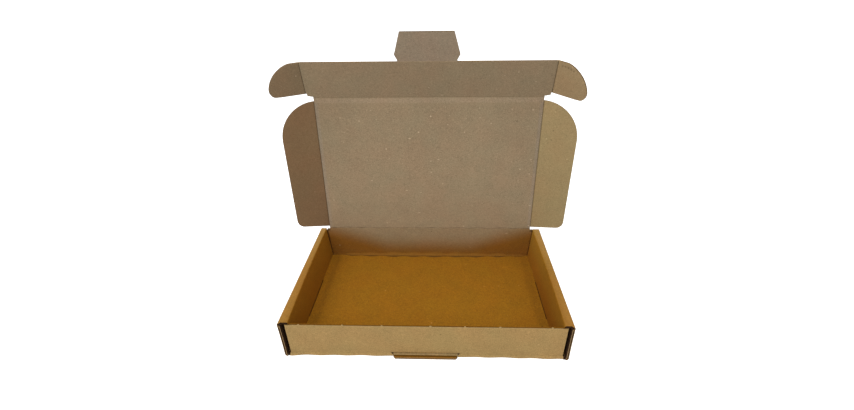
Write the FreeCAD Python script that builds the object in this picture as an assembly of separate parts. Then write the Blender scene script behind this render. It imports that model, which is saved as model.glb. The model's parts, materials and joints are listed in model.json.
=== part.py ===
# Corrugated mailer box, die-cut and folded, standing open.
# Millimetres. The origin is the middle of the underside, +Z is up and -Y is the front.
# The tray is one folded sheet. The lid, its side flaps, its front flap, the two ears
# and the locking tab are its hinged panels, each one plate that turns about a crease.
import math
import os

import FreeCAD, Part
from FreeCAD import Placement, Rotation, Vector

# Board
board = 2.5
ply_gap = 0.15
fold_radius = 3.0
inner_fold_radius = 0.5
end_fold_radius = 1.2

# Tray
box_width = 300.0
wall_length = 178.0
wall_height = 45.8
front_inset = 0.9
rim_gap = 0.2
rim_radius = 1.4
corner_radius = 1.6
front_corner_flap = 42.0
back_corner_flap = 45.0
corner_flap_taper = 6.0
corner_flap_drop = 12.0

# Feet of the inner side walls, which stand in slots in the floor
foot_length = 63.5
foot_middle = -3.2
foot_lift = 0.3
inner_wall_gap = 0.1
foot_slot_side = 0.6
foot_slot_front = 0.6
foot_slot_back = 1.3

# Lip and slot at the foot of the front wall
lip_width = 68.2
lip_reach = 4.1
lip_nose = 2.6
lip_nose_slope = 1.8
lip_radius = 1.2
lock_slot_side = 1.1
lock_slot_slope = 1.7

# Lid
lid_rise = 1.3
lid_lean = 4.6
crease_gap = 0.15
over_fold = 15.0

# Side flaps of the lid
side_flap_width = 42.8
side_flap_widening = 1.8
side_flap_round = 49.0
side_flap_corner = 9.0
side_flap_foot = 2.6
side_flap_side_play = 0.35
side_flap_end_play = 0.35
left_flap_fold = 5.5
right_flap_fold = 4.5

# Front flap
front_flap_play = 0.25
front_flap_fold = 17.7
front_flap_step = 0.7
front_flap_notch = 1.4
front_flap_foot = 2.9
front_flap_corner = 2.2

# Ears of the front flap
ear_play = 0.15
ear_top_play = 0.25
ear_length = 40.2
ear_flat = 12.0
ear_shoulder = 16.5
ear_bulge = 0.138
ear_rise = 0.9
ear_corner = 8.0
ear_corner_share = 0.8
ear_blend = 9.0
left_ear_fold = 20.0
right_ear_fold = 40.0

# Locking tab
tab_play = 0.35
tab_root_width = 67.6
tab_root = 1.6
tab_neck_width = 70.2
tab_neck = 4.3
tab_shoulder_width = 74.2
tab_shoulder = 7.0
tab_end_width = 59.8
tab_length = 32.2
tab_shoulder_radius = 2.2
tab_end_radius = 1.6

# How far blocks reach past what they cut or join, and how near two places count as one
over = 1.0
same = 1e-6

# Places that follow from the sizes above
half_width = box_width / 2
half_length = wall_length / 2
wall_face = half_width - board
floor_top = board
rim_under = wall_height - board
front_face = -half_length + front_inset
front_back = front_face + board
back_face = half_length - board
low_wall_top = rim_under - rim_gap
ear_slot = board + 2 * ear_play
front_flap_ply = wall_face - ear_slot
back_flap_ply = wall_face - ply_gap
inner_face_front = front_flap_ply - board - ply_gap - board
inner_face_back = back_flap_ply - board - ply_gap - board
foot_face = inner_face_front
lid_axis_y = half_length - board / 2
lid_axis_z = wall_height + lid_rise + board / 2
lid_length = lid_axis_y - front_face + front_flap_play + board / 2
side_axis = foot_face - side_flap_side_play - board / 2
side_flap_end = lid_axis_y - front_back - side_flap_end_play
ear_axis = wall_face - ear_play - board / 2
tab_axis_z = floor_top + tab_play + board / 2
tab_crease = lid_axis_z - tab_axis_z
front_flap_height = tab_crease - front_flap_step
ear_foot = lid_axis_z - rim_under + ear_top_play
lock_slot_top = tab_axis_z + board / 2 + tab_play


def polygon_face(points):
    """A flat face inside a closed run of points."""
    return Part.Face(Part.makePolygon([Vector(*p) for p in points] + [Vector(*points[0])]))


def box(x0, x1, y0, y1, z0, z1):
    """A block between two corners."""
    return Part.makeBox(x1 - x0, y1 - y0, z1 - z0, Vector(x0, y0, z0))


def mirrored(shape):
    """The same shape on the other side of the box."""
    return shape.mirror(Vector(0, 0, 0), Vector(1, 0, 0))


def round_upright_edges(solid, corners):
    """Rounds the edges along Z that stand at the given (x, y, radius) corners."""
    for x, y, radius in corners:
        edges = []
        for edge in solid.Edges:
            ends = [v.Point for v in edge.Vertexes]
            if len(ends) == 2 and all(math.hypot(p.x - x, p.y - y) < same for p in ends):
                edges.append(edge)
        solid = solid.makeFillet(radius, edges)
    return solid


def bulged_arc(start, end, bulge):
    """An arc that stands off its chord by a share of the chord, to the left of the way from start to end."""
    chord = end - start
    side = Vector(-chord.y, chord.x, 0)
    return Part.Arc(start, (start + end) / 2 + side * bulge, end).toShape()


def edges_through(items):
    """Edges of an outline: each item is a point, or a point and the bulge of the arc that leads to it."""
    edges = []
    here = Vector(items[0][0], items[0][1], 0)
    for item in list(items[1:]) + [items[0][:2]]:
        there = Vector(item[0], item[1], 0)
        if len(item) == 3:
            edges.append(bulged_arc(here, there, item[2]))
        else:
            edges.append(Part.LineSegment(here, there).toShape())
        here = there
    return edges


def plate(items, corners=()):
    """A panel of board lying flat, with its middle plane at height 0."""
    face = Part.Face(Part.Wire(edges_through(items)))
    solid = face.extrude(Vector(0, 0, board))
    solid.translate(Vector(0, 0, -board / 2))
    return round_upright_edges(solid, corners)


def bevel_crease(solid, start, end, inward, closing=90.0, opening=over_fold, overrun=2 * board):
    """Bevels a panel's edge along a crease, so that it can fold by the given angles to each side."""
    start, end, inward = Vector(*start), Vector(*end), Vector(*inward)
    along = end - start
    along.normalize()
    up = Vector(0, 0, 1)
    far = 2 * board
    inner = crease_gap + board * math.tan(math.radians(closing / 2))
    outer = crease_gap + board * math.tan(math.radians(opening / 2))
    section = [(crease_gap, 0), (inner, board), (-far, board), (-far, -board), (outer, -board)]
    base = start - along * overrun
    points = [base + inward * u + up * n for u, n in section]
    cutter = polygon_face(points).extrude(along * (start.distanceToPoint(end) + 2 * overrun))
    return solid.cut(cutter)


def folded_sides():
    """The floor and the two outer side walls, as one bent section run from front to back."""
    right = [(wall_face, floor_top), (wall_face, wall_height), (half_width, wall_height), (half_width, 0)]
    points = right + [(-x, z) for x, z in reversed(right)]
    section = polygon_face([(x, -half_length, z) for x, z in points])
    solid = section.extrude(Vector(0, wall_length, 0))
    bends = []
    for x, z, radius in (
        (half_width, 0, fold_radius),
        (wall_face, floor_top, inner_fold_radius),
        (half_width, wall_height, rim_radius),
    ):
        bends += [(side * x, z, radius) for side in (-1, 1)]
    for x, z, radius in bends:
        edge = [
            e for e in solid.Edges
            if all(abs(v.X - x) < same and abs(v.Z - z) < same for v in e.Vertexes)
        ]
        solid = solid.makeFillet(radius, edge)
    relief = half_width - fold_radius
    front = box(-relief, relief, -half_length - over, front_face + fold_radius, -over, wall_height + over)
    back = box(-relief, relief, half_length - fold_radius, half_length + over, -over, wall_height + over)
    return solid.cut([front, back])


def end_bend(outer_y, toward, reach):
    """The quarter bend between the floor and an end wall, along the wall's whole width."""
    centre = outer_y - toward * fold_radius
    inner_y = outer_y - toward * board
    inner_centre = inner_y - toward * inner_fold_radius
    outer_centre = outer_y - toward * end_fold_radius
    diagonal = math.sqrt(0.5)

    def at(y, z):
        return Vector(-reach, y, z)

    edges = [
        Part.LineSegment(at(outer_y, fold_radius), at(inner_y, fold_radius)).toShape(),
        Part.Arc(
            at(inner_y, floor_top + inner_fold_radius),
            at(inner_centre + toward * inner_fold_radius * diagonal,
               floor_top + inner_fold_radius * (1 - diagonal)),
            at(inner_centre, floor_top),
        ).toShape(),
        Part.LineSegment(at(centre, 0), at(centre, floor_top)).toShape(),
        Part.LineSegment(at(outer_centre, 0), at(centre, 0)).toShape(),
        Part.LineSegment(at(outer_y, fold_radius), at(outer_y, end_fold_radius)).toShape(),
        Part.Arc(
            at(outer_y, end_fold_radius),
            at(outer_centre + toward * end_fold_radius * diagonal, end_fold_radius * (1 - diagonal)),
            at(outer_centre, 0),
        ).toShape(),
    ]
    if abs(inner_centre - centre) > same:
        edges.append(Part.LineSegment(at(inner_centre, floor_top), at(centre, floor_top)).toShape())
    if fold_radius - floor_top - inner_fold_radius > same:
        edges.append(
            Part.LineSegment(at(inner_y, fold_radius), at(inner_y, floor_top + inner_fold_radius)).toShape()
        )
    wire = Part.Wire(Part.__sortEdges__(edges))
    return Part.Face(wire).extrude(Vector(2 * reach, 0, 0))


def end_wall(outer_y, toward, ply, flap):
    """An end wall with its two corner flaps, bent round upright corners."""
    inner_y = outer_y - toward * board
    tip_y = outer_y - toward * flap
    points = [
        (-ply, tip_y), (-ply, outer_y), (ply, outer_y), (ply, tip_y),
        (ply - board, tip_y), (ply - board, inner_y), (-ply + board, inner_y), (-ply + board, tip_y),
    ]
    wall = polygon_face([(x, y, fold_radius) for x, y in points])
    wall = wall.extrude(Vector(0, 0, low_wall_top - fold_radius))
    corners = [(side * ply, outer_y, corner_radius) for side in (-1, 1)]
    wall = round_upright_edges(wall, corners)
    slope = [
        (tip_y + toward * corner_flap_taper, low_wall_top + over),
        (tip_y - toward * over, low_wall_top + over),
        (tip_y - toward * over, low_wall_top - corner_flap_drop),
        (tip_y, low_wall_top - corner_flap_drop),
    ]
    tip_cut = polygon_face([(-ply - over, y, z) for y, z in slope])
    tip_cut = tip_cut.extrude(Vector(2 * (ply + over), 0, 0))
    return wall.cut(tip_cut)


def rolled_wall():
    """Rim strip and inner wall of one side, twisted a little as the corner flaps spread it."""
    root = wall_face + board / 2
    foot_z = floor_top + inner_wall_gap

    def section(y, face):
        diagonal = rim_radius * (1 - math.sqrt(0.5))
        bend_low = Vector(face + (foot_face - face) * rim_radius / wall_height, y, wall_height - rim_radius)
        bend_high = Vector(face + rim_radius, y, wall_height)
        bend_mid = Vector(face + diagonal, y, wall_height - diagonal)
        corners = [
            Vector(root, y, wall_height), bend_high, bend_low, Vector(foot_face, y, foot_z),
            Vector(foot_face + board, y, foot_z), Vector(face + board, y, rim_under),
            Vector(root, y, rim_under),
        ]
        edges = []
        for index, corner in enumerate(corners):
            following = corners[(index + 1) % len(corners)]
            if index == 1:
                edges.append(Part.Arc(corner, bend_mid, following).toShape())
            else:
                edges.append(Part.LineSegment(corner, following).toShape())
        return Part.Wire(edges)

    wires = [section(-half_length, inner_face_front), section(half_length, inner_face_back)]
    wall = Part.makeLoft(wires, True, True)
    front_end = front_back + ply_gap
    back_end = back_face - ply_gap
    low = foot_face - board
    wall = wall.cut(box(low, wall_face, -half_length - over, front_face, -over, wall_height + over))
    wall = wall.cut(box(low, root + over, -half_length - over, front_end, -over, rim_under))
    wall = wall.cut(box(low, root + over, back_end, half_length + over, -over, rim_under))
    foot_start = foot_middle - foot_length / 2
    foot_end = foot_start + foot_length
    foot = box(foot_face, foot_face + board, foot_start, foot_end, foot_lift, floor_top + board)
    return wall.fuse(foot)


def floor_slot():
    """The slot in the floor that takes the foot of one inner wall."""
    start = foot_middle - foot_length / 2 - foot_slot_front
    end = foot_middle + foot_length / 2 + foot_slot_back
    left = foot_face - foot_slot_side
    right = foot_face + board + foot_slot_side
    return box(left, right, start, end, -over, floor_top + over)


def lock_slot():
    """The slot above the lip, wider at its top, which takes the locking tab."""
    low = lip_width / 2 + lock_slot_side
    high = low + lock_slot_slope
    start = front_face - over
    right = [(low, -over), (low, floor_top), (high, lock_slot_top)]
    points = right + [(-x, z) for x, z in reversed(right)]
    return polygon_face([(x, start, z) for x, z in points]).extrude(Vector(0, fold_radius + over, 0))


def lip():
    """The lip that the floor sends out under the slot."""
    root = front_face + fold_radius
    tip = front_face - lip_reach
    half = lip_width / 2
    nose = half - lip_nose_slope
    right = [(nose, tip), (half, tip + lip_nose), (half, root)]
    points = right + [(-x, y) for x, y in reversed(right)]
    solid = polygon_face([(x, y, 0) for x, y in points]).extrude(Vector(0, 0, board))
    corners = [(side * nose, tip, lip_radius) for side in (-1, 1)]
    return round_upright_edges(solid, corners)


def hinge_wall():
    """The middle of the back wall, which rises to the lid's crease."""
    wall = plate([(-side_axis, 0), (side_axis, 0), (side_axis, lid_axis_z), (-side_axis, lid_axis_z)])
    ends = [(-side_axis, lid_axis_z, 0), (side_axis, lid_axis_z, 0)]
    wall = bevel_crease(wall, *ends, (0, -1, 0), opening=90.0)
    wall.Placement = Placement(Vector(0, lid_axis_y, 0), Rotation(Vector(1, 0, 0), 90))
    return wall.common(box(-half_width, half_width, 0, half_length + over, fold_radius, lid_axis_z + over))


def hinge_shoulder():
    """The back wall beside the lid's crease, up to just under the rim's top."""
    inner = side_axis - over
    outer = inner_face_back - ply_gap
    return box(inner, outer, back_face, half_length, low_wall_top - over, wall_height - rim_gap)


def make_tray():
    """The whole folded tray as one solid."""
    side = rolled_wall()
    shoulder = hinge_shoulder()
    pieces = [
        end_bend(front_face, -1, front_flap_ply),
        end_bend(half_length, 1, back_flap_ply),
        end_wall(front_face, -1, front_flap_ply, front_corner_flap),
        end_wall(half_length, 1, back_flap_ply, back_corner_flap),
        hinge_wall(),
        shoulder,
        mirrored(shoulder),
    ]
    slot = floor_slot()
    tray = folded_sides().fuse(pieces)
    tray = tray.cut([slot, mirrored(slot), lock_slot()])
    tray = tray.fuse([side, mirrored(side), lip()])
    return tray.removeSplitter()


def make_lid_panel():
    """The lid's main panel, from the hinge at height 0 to the front crease."""
    panel = plate([(-side_axis, 0), (side_axis, 0), (side_axis, lid_length), (-side_axis, lid_length)])
    left, right = -side_axis, side_axis
    panel = bevel_crease(panel, (left, 0, 0), (right, 0, 0), (0, 1, 0), opening=90.0)
    panel = bevel_crease(panel, (left, lid_length, 0), (right, lid_length, 0), (0, -1, 0))
    panel = bevel_crease(panel, (left, 0, 0), (left, lid_length, 0), (1, 0, 0))
    return bevel_crease(panel, (right, 0, 0), (right, lid_length, 0), (-1, 0, 0))


def make_side_flap():
    """A side flap to the right of its crease, with one long round at its front end."""
    foot = side_flap_foot
    shoulder = side_flap_end - side_flap_round
    width = side_flap_width + side_flap_widening
    radius = (width ** 2 + side_flap_round ** 2) / (2 * width)
    sweep = math.asin(side_flap_round / radius)
    bulge = -math.tan(sweep / 4) / 2
    items = [(0, foot), (side_flap_width, foot), (width, shoulder), (0, side_flap_end, bulge)]
    flap = plate(items, [(side_flap_width, foot, side_flap_corner)])
    return bevel_crease(flap, (0, 0, 0), (0, side_flap_end, 0), (1, 0, 0))


def make_front_flap():
    """The front flap, wider than the lid, with a low step that carries the locking tab."""
    half_root = tab_root_width / 2
    left, right = -ear_axis, ear_axis
    notch = front_flap_notch
    foot = front_flap_foot
    items = [
        (-side_axis, 0), (side_axis, 0), (side_axis + notch / 2, notch), (right, foot),
        (right, front_flap_height), (half_root, front_flap_height), (half_root, tab_crease),
        (-half_root, tab_crease), (-half_root, front_flap_height), (left, front_flap_height),
        (left, foot), (-side_axis - notch / 2, notch),
    ]
    corners = [(side * (side_axis + notch / 2), notch, front_flap_corner) for side in (-1, 1)]
    flap = plate(items, corners)
    flap = bevel_crease(flap, (-side_axis, 0, 0), (side_axis, 0, 0), (0, 1, 0))
    flap = bevel_crease(flap, (left, foot, 0), (left, front_flap_height, 0), (1, 0, 0))
    flap = bevel_crease(flap, (right, foot, 0), (right, front_flap_height, 0), (-1, 0, 0))
    return bevel_crease(flap, (-half_root, tab_crease, 0), (half_root, tab_crease, 0), (0, -1, 0), overrun=0)


def make_ear():
    """An ear to the right of its crease: straight top, long round shoulder and round lower corner."""
    low_corner = (ear_length, ear_foot + ear_rise)
    low_radius = min(ear_corner, ear_corner_share * (ear_shoulder - low_corner[1]))
    items = [
        (0, ear_foot), low_corner, (ear_length, ear_shoulder),
        (ear_flat, front_flap_height, -ear_bulge), (0, front_flap_height),
    ]
    corners = [
        (low_corner[0], low_corner[1], low_radius),
        (ear_length, ear_shoulder, ear_blend),
        (ear_flat, front_flap_height, ear_blend),
    ]
    ear = plate(items, corners)
    return bevel_crease(ear, (0, ear_foot, 0), (0, front_flap_height, 0), (1, 0, 0))


def make_lock_tab():
    """The locking tab: a narrow neck, two shoulders and a narrower end."""
    right = [
        (tab_root_width / 2, 0), (tab_root_width / 2, tab_root), (tab_neck_width / 2, tab_neck),
        (tab_shoulder_width / 2, tab_shoulder), (tab_end_width / 2, tab_length),
    ]
    items = right + [(-x, y) for x, y in reversed(right)]
    corners = []
    for side in (-1, 1):
        corners.append((side * tab_shoulder_width / 2, tab_shoulder, tab_shoulder_radius))
        corners.append((side * tab_end_width / 2, tab_length, tab_end_radius))
    tab = plate(items, corners)
    return bevel_crease(tab, (-tab_root_width / 2, 0, 0), (tab_root_width / 2, 0, 0), (0, 1, 0))


def turned(place, point, axis, angle):
    """A placement carried on to a point of its own frame and turned there."""
    return place.multiply(Placement(Vector(*point), Rotation(Vector(*axis), angle)))


def placed(shape, place):
    """A copy of a flat panel set in its place on the box."""
    copy = shape.copy()
    copy.Placement = place
    return copy


def make_panels():
    """All hinged panels, each in its place on the standing box."""
    lid = Placement(Vector(0, lid_axis_y, lid_axis_z), Rotation(Vector(1, 0, 0), 90 - lid_lean))
    front = turned(lid, (0, lid_length, 0), (1, 0, 0), front_flap_fold)
    tab = turned(front, (0, tab_crease, 0), (1, 0, 0), 0)
    right_flap = turned(lid, (side_axis, 0, 0), (0, 1, 0), -right_flap_fold)
    left_flap = turned(lid, (-side_axis, 0, 0), (0, 1, 0), left_flap_fold)
    right_ear = turned(front, (ear_axis, 0, 0), (0, 1, 0), -right_ear_fold)
    left_ear = turned(front, (-ear_axis, 0, 0), (0, 1, 0), left_ear_fold)
    side_flap = make_side_flap()
    ear = make_ear()
    return {
        "lid_panel": placed(make_lid_panel(), lid),
        "lid_left_flap": placed(mirrored(side_flap), left_flap),
        "lid_right_flap": placed(side_flap, right_flap),
        "front_flap": placed(make_front_flap(), front),
        "left_ear": placed(mirrored(ear), left_ear),
        "right_ear": placed(ear, right_ear),
        "lock_tab": placed(make_lock_tab(), tab),
    }


def main():
    os.makedirs("parts", exist_ok=True)
    nodes = {"tray": make_tray()}
    nodes.update(make_panels())
    for name, shape in nodes.items():
        if not shape.isValid() or len(shape.Solids) != 1:
            print("check", name, "valid", shape.isValid(), "solids", len(shape.Solids))
        solid = shape.Solids[0] if len(shape.Solids) == 1 else shape
        solid.exportStep("parts/%s.step" % name)
        room = solid.BoundBox
        print(name, "volume", round(solid.Volume, 1), "size", room.XLength, room.YLength, room.ZLength)


main()
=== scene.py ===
# Looks of the corrugated mailer box: every panel is real board, with two liners and a fluted core.
# Sizes are in millimetres until a mesh is made. +Z is up and -Y is the front, as in the frame.
import json
import math
import random

import bmesh
import bpy
import numpy as np
from mathutils import Matrix, Vector


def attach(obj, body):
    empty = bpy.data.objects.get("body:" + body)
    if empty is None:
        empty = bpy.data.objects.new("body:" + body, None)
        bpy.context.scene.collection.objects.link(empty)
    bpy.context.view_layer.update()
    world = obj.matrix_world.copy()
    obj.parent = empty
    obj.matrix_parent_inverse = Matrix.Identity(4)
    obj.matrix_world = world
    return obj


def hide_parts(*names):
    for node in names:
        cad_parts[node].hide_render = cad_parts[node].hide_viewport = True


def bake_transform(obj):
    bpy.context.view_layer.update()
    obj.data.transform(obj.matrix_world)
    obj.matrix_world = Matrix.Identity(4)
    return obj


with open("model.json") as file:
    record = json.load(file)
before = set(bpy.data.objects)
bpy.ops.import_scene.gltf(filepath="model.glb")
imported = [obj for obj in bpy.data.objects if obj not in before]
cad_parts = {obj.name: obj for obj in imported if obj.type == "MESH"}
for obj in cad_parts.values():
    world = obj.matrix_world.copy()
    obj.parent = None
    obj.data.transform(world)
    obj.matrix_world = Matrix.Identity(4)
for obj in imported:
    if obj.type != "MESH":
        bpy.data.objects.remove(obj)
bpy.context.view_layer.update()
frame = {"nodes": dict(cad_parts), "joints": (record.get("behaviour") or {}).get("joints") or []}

MM = 0.001
SEED = 7

# Board
BOARD = 2.5
LINER = 0.38
CORE = 0.28
FLUTE_PITCH = 6.5
ROWS_PER_FLUTE = 8

# How finely the meshes are divided
FLOOR_STEP = 6.0
SIDE_STEP = 5.0
WALL_STEP = 4.0
COLUMN_STEP = 8.0
FLAP_STEP = 4.0
STRIP_STEP = 1.0
LIP_STEP = 0.4
LIP_SHARE = 0.2
BEND_SHARE = 0.02
BACK_STEP = 2.2
LID_COLUMNS = 35
FLAP_COLUMNS = 11
TAB_COLUMNS = 15
RUN_PARTS = 4
LONG_RUN_PARTS = 8
BEND_RUN_PARTS = 6
ARC_STEPS = 6
SHARP_ANGLE = 35.0

# Tray
HALF_WIDTH = 150.0
HALF_LENGTH = 89.0
WALL_HEIGHT = 45.8
FRONT_FACE = -88.1
LOW_WALL_TOP = 43.1
SHOULDER_TOP = 45.6
SHOULDER_END = 142.05
# Painted shade on the back wall's shoulders
SHOULDER_SHADE = 0.45
FOLD_RADIUS = 3.0
END_FOLD_RADIUS = 1.2
INNER_FOLD_RADIUS = 0.5
RIM_RADIUS = 1.4
SHARP_RADIUS = 0.3
CORNER_RADIUS = 1.6
WALL_FACE = HALF_WIDTH - BOARD
FRONT_PLY = 144.7
BACK_PLY = 147.35
FRONT_CORNER_FLAP = 42.0
BACK_CORNER_FLAP = 45.0
FLAP_TAPER = 6.0
FLAP_TAPER_DROP = 12.0
INNER_FACE_FRONT = 139.55
INNER_FACE_BACK = 142.2
INNER_FOOT_Z = 2.6
INNER_WALL_START = -85.45
INNER_WALL_END = 86.35
RIM_UNDER = WALL_HEIGHT - BOARD
WALL_LEAN = {-1: (1.4, 1.4), 1: (0.55, 1.7)}
INNER_LEAN = {-1: (1.2, 1.25, 0.9), 1: (0.9, 0.0, 1.15)}
RIM_START = -86.9
END_SKEW = 1.8
FLOOR_EDGE_X = 146.5
FLOOR_START = -84.6
FLOOR_END = 85.5
FLOOR_OVERLAP = 0.5
BEND_TOP = 3.05
BACK_BEND_TOP = 9.0
BACK_BEND_START = 80.0
TUCK = 0.03

# Feet and their slots
FOOT_START = -34.95
FOOT_END = 28.55
FOOT_LIFT = 0.3
SLOT_SIDE = 0.6
SLOT_START = -35.55
SLOT_END = 29.85
PLATE_THICK = 0.6
CLEAR = 0.02

# Lip and locking slot
LIP_HALF = 34.1
LIP_TIP = -92.2
LIP_NOSE = 2.6
LIP_NOSE_SLOPE = 1.8
LIP_ROUND = 0.6
LIP_PLAY = 0.15
LOCK_SLOT_LOW = 35.2
LOCK_SLOT_HIGH = 36.9
LOCK_SLOT_TOP = 5.7

# Lid
EDGE_INSET = 0.15

# Creases
CREASE_HALF = 1.5
CREASE_STEPS = 12
CREASE_DEPTH = 0.42
CREASE_WIDTH = 0.42
# Width of the painted shade along a crease
CREASE_SHADE_WIDTH = 0.7
OUTER_PRESS = 0.08
# How much painted shade the rows at the back bend's crease line get
BACK_CREASE_SHADE = {-1: 0.2, 0: 0.6, 1: 0.5, 2: 0.2}
FRONT_SWELL = 1.5
SWELL_LEAST = 0.5
SWELL_WAVE = 0.45
SWELL_AT_ENDS = 1.1
BACK_ROUND = 4.0
BACK_SCALLOP = 2.6
BACK_SQUARENESS = 2.6
BACK_SHARP = 0.4
WAVE_PITCH = 30.0
WAVE_HEIGHT = 0.5

# Paper tufts that the cutting die left on the front wall's top edge
TUFT_PLACES = (-129.9, -84.6, -44.0, 5.6, 40.7, 76.2, 128.4)
TUFT_WIDTH = 2.0
TUFT_HEIGHT = 0.7
TUFT_DEPTH = 0.85
TUFT_INSET = 0.9

# Camera
CAMERA_AT = (14.94, -379.46, 354.02)
CAMERA_PITCH = 29.977
CAMERA_YAW = 2.138
CAMERA_ROLL = 0.859
CAMERA_LENS = 17.004
SENSOR_WIDTH = 36.0

JOINTS = {joint["name"]: joint for joint in frame["joints"]}


def joint_place(name):
    """A joint's axis point at rest, in millimetres."""
    return np.array(JOINTS[name]["pos_m"]) / MM


def rest_fold(name):
    """How far a panel is already folded in at rest, as an angle in radians."""
    return math.radians(90 - JOINTS[name]["range_deg"][1])


ACROSS = np.array([1.0, 0.0, 0.0])
LID_UP = np.array(JOINTS["left_flap_fold"]["axis"])
FLAP_UP = np.array(JOINTS["left_ear_fold"]["axis"])
WALL_UP = np.array([0.0, 0.0, 1.0])
LID_AT = joint_place("lid_hinge")
FRONT_AT = joint_place("front_flap_fold")
TAB_AT = joint_place("lock_tab_fold")
SIDE_AXIS = joint_place("right_flap_fold")[0]
EAR_AXIS = joint_place("right_ear_fold")[0]
LID_LENGTH = np.linalg.norm(FRONT_AT - LID_AT)
TAB_CREASE = np.linalg.norm(TAB_AT - FRONT_AT)


# Materials

def srgb(r, g, b):
    """A colour given as 0 to 255 screen values, in linear light."""
    def one(value):
        value /= 255
        return value / 12.92 if value <= 0.04045 else ((value + 0.055) / 1.055) ** 2.4
    return (one(r), one(g), one(b), 1.0)


class Nodes:
    """Short ways to build a material's node tree."""

    def __init__(self, name):
        self.material = bpy.data.materials.new(name)
        self.material.use_nodes = True
        self.tree = self.material.node_tree
        self.tree.nodes.clear()

    def add(self, kind, **settings):
        node = self.tree.nodes.new(kind)
        for key, value in settings.items():
            if key in node.inputs:
                node.inputs[key].default_value = value
            else:
                setattr(node, key, value)
        return node

    def link(self, source, target):
        self.tree.links.new(source, target)

    def value(self, socket, thing):
        if isinstance(thing, bpy.types.NodeSocket):
            self.link(thing, socket)
        else:
            socket.default_value = thing

    def maths(self, operation, a, b=0.0, clamp=False):
        node = self.add("ShaderNodeMath", operation=operation, use_clamp=clamp)
        self.value(node.inputs[0], a)
        self.value(node.inputs[1], b)
        return node.outputs[0]

    def times(self, a, b, clamp=False):
        return self.maths("MULTIPLY", a, b, clamp)

    def plus(self, a, b, clamp=False):
        return self.maths("ADD", a, b, clamp)

    def mix(self, factor, a, b, blend="MIX"):
        """Two colours blended. Inputs 6 and 7 and output 2 are the node's colour sockets."""
        node = self.add("ShaderNodeMix", data_type="RGBA", blend_type=blend)
        self.value(node.inputs["Factor"], factor)
        self.value(node.inputs[6], a)
        self.value(node.inputs[7], b)
        return node.outputs[2]

    def tinted(self, colour, tint):
        """A colour multiplied by another."""
        return self.mix(1.0, colour, tint, "MULTIPLY")

    def span(self, value, low, high, to_low=0.0, to_high=1.0, smooth=False):
        """A value's place between low and high, as a number from to_low to to_high that stops at both."""
        node = self.add("ShaderNodeMapRange", interpolation_type="SMOOTHSTEP" if smooth else "LINEAR")
        self.value(node.inputs["Value"], value)
        node.inputs["From Min"].default_value = low
        node.inputs["From Max"].default_value = high
        node.inputs["To Min"].default_value = to_low
        node.inputs["To Max"].default_value = to_high
        return node.outputs["Result"]

    def noise(self, place, scale, detail=2.0, roughness=0.5):
        node = self.add("ShaderNodeTexNoise", Scale=scale, Detail=detail, Roughness=roughness)
        self.link(place, node.inputs["Vector"])
        return node.outputs["Fac"]

    def stretched(self, place, scale, turn):
        node = self.add("ShaderNodeMapping", Scale=scale, Rotation=turn)
        self.link(place, node.inputs["Vector"])
        return node.outputs["Vector"]

    def grey(self, level):
        """A grey of the given level, as a colour socket."""
        node = self.add("ShaderNodeCombineColor")
        for socket in node.inputs[:3]:
            self.link(level, socket)
        return node.outputs[0]

    def specks(self, place, scale, radius, share):
        """Sparse round marks: only some cells hold one, and their sizes differ."""
        node = self.add("ShaderNodeTexVoronoi", Scale=scale)
        self.link(place, node.inputs["Vector"])
        pick = self.add("ShaderNodeSeparateColor")
        self.link(node.outputs["Color"], pick.inputs["Color"])
        chosen = self.maths("LESS_THAN", pick.outputs[0], share)
        size = self.span(pick.outputs[1], 0.0, 1.0, radius * 0.45, radius)
        inside = self.maths("SUBTRACT", 1.0, self.maths("DIVIDE", node.outputs["Distance"], size), clamp=True)
        return self.times(self.times(inside, 2.0, clamp=True), chosen)


def darker(colour, share):
    """A colour with its light cut to a share."""
    return tuple(c * share for c in colour[:3]) + (1.0,)


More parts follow.
